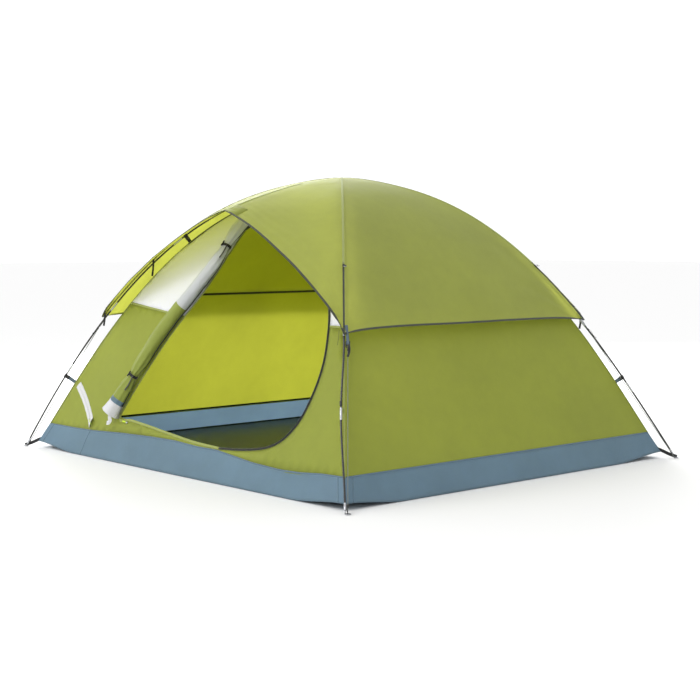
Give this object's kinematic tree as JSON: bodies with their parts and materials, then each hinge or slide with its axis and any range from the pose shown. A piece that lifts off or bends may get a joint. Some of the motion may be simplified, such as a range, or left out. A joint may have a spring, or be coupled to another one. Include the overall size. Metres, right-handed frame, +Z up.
{
  "type": "dome tent",
  "caption": "Dome tent with crossed poles, a fly lifted over the door by a brow pole, a tub floor, netting over the walls and a wide zipped door rolled back.",
  "frame": {"origin": "middle of the tent's footprint, on the ground", "axes": "+Z up, -Y out through the door, +X to the right of someone who looks in through the door"},
  "size_m": [2.5454, 2.2014, 1.3825],
  "materials": {
    "tub_fabric": "satin",
    "wall_fabric": "satin",
    "fly_fabric": "satin",
    "white_netting": "matte",
    "white_tape": "matte",
    "grey_binding": "matte",
    "blue_webbing": "matte",
    "black_elastic": "matte",
    "pole_fibreglass": "gloss",
    "black_plastic": "satin",
    "yellow_plastic": "satin",
    "steel_wire": "satin"
  },
  "bodies": {
    "tent": {"door_roll": "wall_fabric", "door_tie_lower": "black_elastic", "door_tie_upper": "black_elastic", "floor_tub": "tub_fabric", "foot_ring_front_left": "steel_wire", "foot_ring_front_right": "steel_wire", "foot_ring_rear_left": "steel_wire", "foot_ring_rear_right": "steel_wire", "front_mesh": "white_netting", "front_wall": "wall_fabric", "left_wall": "wall_fabric", "pole_a_section_01": "pole_fibreglass", "pole_a_section_02": "pole_fibreglass", "pole_a_section_03": "pole_fibreglass", "pole_a_section_04": "pole_fibreglass", "pole_a_section_05": "pole_fibreglass", "pole_a_section_06": "pole_fibreglass", "pole_a_section_07": "pole_fibreglass", "pole_a_section_08": "pole_fibreglass", "pole_a_section_09": "pole_fibreglass", "pole_a_section_10": "pole_fibreglass", "pole_b_section_01": "pole_fibreglass", "pole_b_section_02": "pole_fibreglass", "pole_b_section_03": "pole_fibreglass", "pole_b_section_04": "pole_fibreglass", "pole_b_section_05": "pole_fibreglass", "pole_b_section_06": "pole_fibreglass", "pole_b_section_07": "pole_fibreglass", "pole_b_section_08": "pole_fibreglass", "pole_b_section_09": "pole_fibreglass", "pole_b_section_10": "pole_fibreglass", "pole_clip_upper_front_left": "black_plastic", "pole_clip_upper_front_right": "black_plastic", "pole_clip_upper_rear_left": "black_plastic", "pole_clip_upper_rear_right": "black_plastic", "rear_wall": "wall_fabric", "right_wall": "wall_fabric", "roof_canopy": "wall_fabric", "vent_tape": "white_tape"},
    "fly": {"fly_front": "fly_fabric", "fly_rear": "fly_fabric", "fly_left": "fly_fabric", "fly_right": "fly_fabric", "brow_pole": "pole_fibreglass", "fly_buckle_front_left": "black_plastic", "fly_buckle_front_right": "black_plastic", "fly_buckle_rear_right": "black_plastic", "fly_buckle_rear_left": "black_plastic", "fly_cord_front_left": "black_elastic", "fly_cord_front_right": "black_elastic", "fly_cord_rear_right": "black_elastic", "fly_cord_rear_left": "black_elastic"},
    "clip_front_left": {"pole_clip_lower_front_left": "black_plastic"},
    "clip_front_right": {"pole_clip_lower_front_right": "black_plastic"},
    "clip_rear_right": {"pole_clip_lower_rear_right": "black_plastic"},
    "clip_rear_left": {"pole_clip_lower_rear_left": "black_plastic"},
    "toggle_lower": {"door_toggle_lower": "black_plastic"},
    "toggle_upper": {"door_toggle_upper": "black_plastic"},
    "door_zip": {"door_slider": "yellow_plastic"},
    "vent_zip": {"vent_slider": "yellow_plastic"}
  },
  "joints": [
    {"name": "fly_lift", "type": "slide", "parent": "tent", "child": "fly", "axis": [0, 0, 1], "range_m": [0, 0.6]},
    {"name": "clip_front_left_turn", "type": "hinge", "parent": "tent", "child": "clip_front_left", "pos_m": [-1.04561, -0.91491, 0.33849], "axis": [0.4091, 0.3579, 0.8394], "range_deg": [0, 70]},
    {"name": "clip_front_right_turn", "type": "hinge", "parent": "tent", "child": "clip_front_right", "pos_m": [1.01884, -0.90893, 0.37438], "axis": [0.4152, -0.3633, -0.834], "range_deg": [0, 70]},
    {"name": "clip_rear_right_turn", "type": "hinge", "parent": "tent", "child": "clip_rear_right", "pos_m": [1.02812, 0.89961, 0.37359], "axis": [-0.43, -0.3763, 0.8207], "range_deg": [0, 70]},
    {"name": "clip_rear_left_turn", "type": "hinge", "parent": "tent", "child": "clip_rear_left", "pos_m": [-1.02749, 0.89905, 0.37438], "axis": [-0.4152, 0.3633, -0.834], "range_deg": [0, 70]},
    {"name": "toggle_lower_turn", "type": "hinge", "parent": "tent", "child": "toggle_lower", "pos_m": [-0.50022, -0.9422, 0.42379], "axis": [0, -0.9149, 0.4037], "range_deg": [-90, 90]},
    {"name": "toggle_upper_turn", "type": "hinge", "parent": "tent", "child": "toggle_upper", "pos_m": [-0.20288, -0.59127, 1.05685], "axis": [0, -0.7938, 0.6082], "range_deg": [-90, 90]},
    {"name": "door_zip_slide", "type": "slide", "parent": "tent", "child": "door_zip", "axis": [0.9962, -0.0336, -0.0805], "range_m": [0, 0.44]},
    {"name": "vent_zip_slide", "type": "slide", "parent": "tent", "child": "vent_zip", "axis": [-0.7851, 0.239, 0.5714], "range_m": [0, 0.12]}
  ]
}
